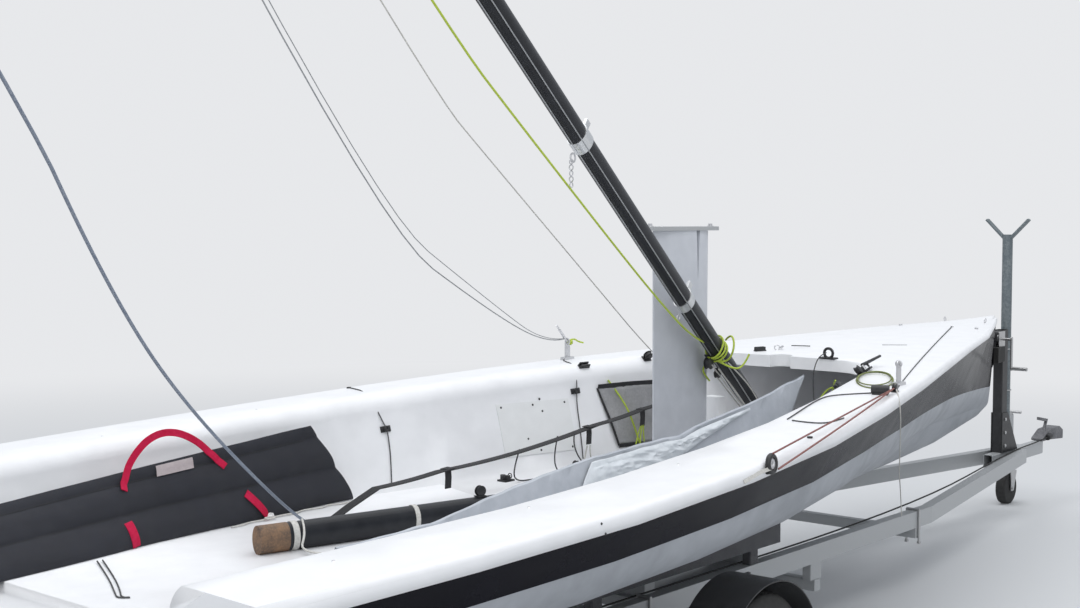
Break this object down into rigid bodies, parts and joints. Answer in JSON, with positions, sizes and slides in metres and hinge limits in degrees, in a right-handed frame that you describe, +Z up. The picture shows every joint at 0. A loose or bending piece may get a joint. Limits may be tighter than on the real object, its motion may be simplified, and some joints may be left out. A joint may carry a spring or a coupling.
{
  "type": "sport keelboat on road trailer",
  "caption": "Open sport keelboat with lifting keel drawn up and its mast lowered aft, standing on a galvanised single axle road trailer with jockey wheel",
  "frame": {"origin": "middle of the overall box on the ground, under the trailer wheels", "axes": "+X forward to the bow and coupling, +Y to port, +Z up"},
  "size_m": [10.4629, 2.5052, 6.0849],
  "materials": {
    "alloy": "satin silver",
    "bag_cloth": "dark charcoal padded cloth",
    "black_plastic": "matt black",
    "board_white": "plain white board",
    "bunk_pad": "grey carpet on timber",
    "carbon_mast": "clear coated black carbon",
    "cast_coupling": "zinc plated cast head",
    "deck_gelcoat": "white gelcoat with fine grip texture",
    "galvanised": "dull hot dip zinc, spangled",
    "keel_paint": "satin light grey",
    "mesh": "dark mesh with black border",
    "rubber_black": "matt black",
    "sail_laminate": "translucent grey film laminate",
    "stainless": "satin",
    "stay_wire": "stranded wire",
    "topside_gelcoat": "glossy black hull side over a light grey bottom",
    "tyre": "worn black",
    "webbing": "black webbing",
    "zinc": "bright zinc plate"
  },
  "bodies": {
    "boat_and_trailer": {"axle": "galvanised", "boom": "carbon_mast", "bow_snubber": "rubber_black", "bowsprit_ring": "black_plastic", "bunk_port": "bunk_pad", "bunk_starboard": "bunk_pad", "chainplate_port": "stainless", "chainplate_starboard": "stainless", "coupling": "cast_coupling", "cross_members": "galvanised", "deck_moulding": "deck_gelcoat", "drawbar": "galvanised", "hull": "topside_gelcoat", "jockey_clamp": "galvanised", "keel_bulb": "keel_paint", "keel_chock": "galvanised", "keel_cross_members": "galvanised", "keel_fin": "keel_paint", "keel_head_bar": "galvanised", "keel_trunk": "deck_gelcoat", "laminate_sail": "sail_laminate", "light_board": "board_white", "mainsheet_base": "black_plastic", "mast_pole": "galvanised", "mast_step": "stainless", "mesh_pockets": "mesh", "mudguard_port": "black_plastic", "mudguard_starboard": "black_plastic", "rail_port": "galvanised", "rail_starboard": "galvanised", "rudder_gudgeons": "stainless", "sail_bag": "bag_cloth", "toe_straps": "webbing", "winch_frame": "zinc", "winch_post": "galvanised"},
    "mast": {"mast_heel": "alloy", "mast_tube": "carbon_mast", "mast_collars": "alloy", "spreaders": "carbon_mast", "masthead_crane": "alloy", "lashed_stays": "stay_wire", "shroud_port": "stay_wire"},
    "rudder": {"rudder_head": "alloy", "rudder_blade": "keel_paint"},
    "tiller": {"tiller": "carbon_mast"},
    "extension": {"tiller_extension": "carbon_mast"},
    "bowsprit": {"bowsprit": "carbon_mast"},
    "winch_drum": {"winch_drum": "zinc"},
    "jockey_leg": {"jockey_leg": "zinc"},
    "jockey_fork": {"jockey_fork": "zinc"},
    "jockey_wheel": {"jockey_wheel": "rubber_black"},
    "wheel_port": {"tyre_port": "tyre", "rim_port": "galvanised"},
    "wheel_starboard": {"tyre_starboard": "tyre", "rim_starboard": "galvanised"}
  },
  "joints": [
    {"name": "mast_raise", "type": "hinge", "parent": "boat_and_trailer", "child": "mast", "pos_m": [1.78, 0, 0.712], "axis": [-0.1308, 0.9914, 0], "range_deg": [-5, 53], "deforming": ["shroud_port"]},
    {"name": "rudder_steer", "type": "hinge", "parent": "boat_and_trailer", "child": "rudder", "pos_m": [-2.302, 0, 0.76], "axis": [0, 0, 1], "range_deg": [-40, 40]},
    {"name": "tiller_lift", "type": "hinge", "parent": "rudder", "child": "tiller", "pos_m": [-2.387, 0, 1.095], "axis": [0, 1, 0], "range_deg": [0, 98]},
    {"name": "extension_swing", "type": "hinge", "parent": "tiller", "child": "extension", "pos_m": [-2.5242, 0.036, 1.873], "axis": [0, 1, 0], "range_deg": [0, 170]},
    {"name": "bowsprit_run", "type": "slide", "parent": "boat_and_trailer", "child": "bowsprit", "axis": [1, 0, 0], "range_m": [0, 0.95]},
    {"name": "winch_turn", "type": "hinge", "parent": "boat_and_trailer", "child": "winch_drum", "pos_m": [4.232, 0, 1.07], "axis": [0, 1, 0], "continuous": true},
    {"name": "jockey_wind", "type": "slide", "parent": "boat_and_trailer", "child": "jockey_leg", "axis": [0, 0, 1], "range_m": [0, 0.08]},
    {"name": "jockey_swivel", "type": "hinge", "parent": "jockey_leg", "child": "jockey_fork", "pos_m": [4.72, 0.105, 0.2], "axis": [0, 0, 1], "continuous": true},
    {"name": "jockey_spin", "type": "hinge", "parent": "jockey_fork", "child": "jockey_wheel", "pos_m": [4.685, 0.105, 0.1], "axis": [0, 1, 0], "continuous": true},
    {"name": "wheel_port_spin", "type": "hinge", "parent": "boat_and_trailer", "child": "wheel_port", "pos_m": [0.01, 0.96, 0.26], "axis": [0, 1, 0], "continuous": true},
    {"name": "wheel_starboard_spin", "type": "hinge", "parent": "boat_and_trailer", "child": "wheel_starboard", "pos_m": [0.01, -0.96, 0.26], "axis": [0, 1, 0], "continuous": true}
  ]
}
